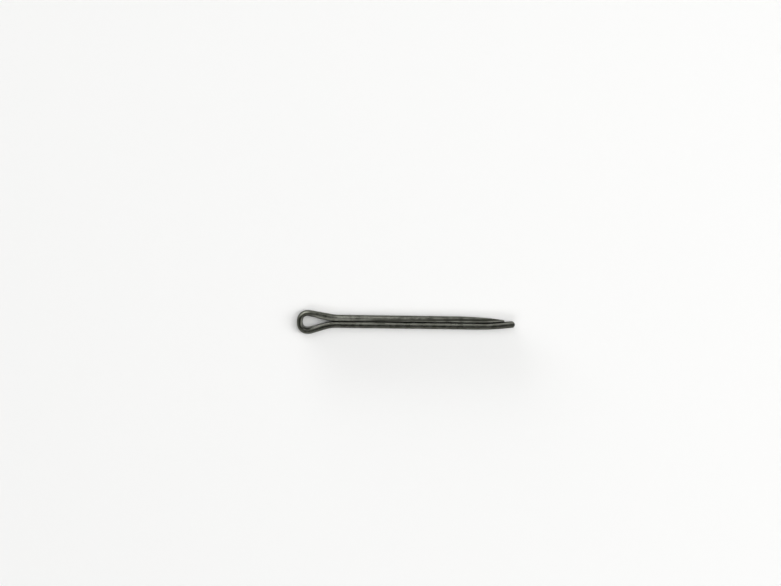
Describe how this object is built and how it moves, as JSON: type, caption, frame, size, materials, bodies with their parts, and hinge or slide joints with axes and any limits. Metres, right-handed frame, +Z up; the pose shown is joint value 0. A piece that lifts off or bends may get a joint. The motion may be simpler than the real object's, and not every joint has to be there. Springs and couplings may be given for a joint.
{
  "type": "cotter pin",
  "caption": "Split pin of folded half-round steel wire: a teardrop eye, a round shank of two legs lying flat to flat, and bent, sheared ends of unequal length.",
  "frame": {"origin": "on the axis of the shank, at the seat under the eye, where the shoulders run into the round shank", "axes": "+X along the shank from the eye to the ends, +Y to the short leg's side, +Z up out of the plane that the eye lies in; the pin lies flat"},
  "size_m": [0.0456, 0.005, 0.0026],
  "materials": {
    "steel_wire": "drawn half-round mild steel wire, dull grey, with fine streaks along it and bare sheared ends"
  },
  "bodies": {
    "root": {"cotter_pin": "steel_wire"}
  },
  "joints": []
}
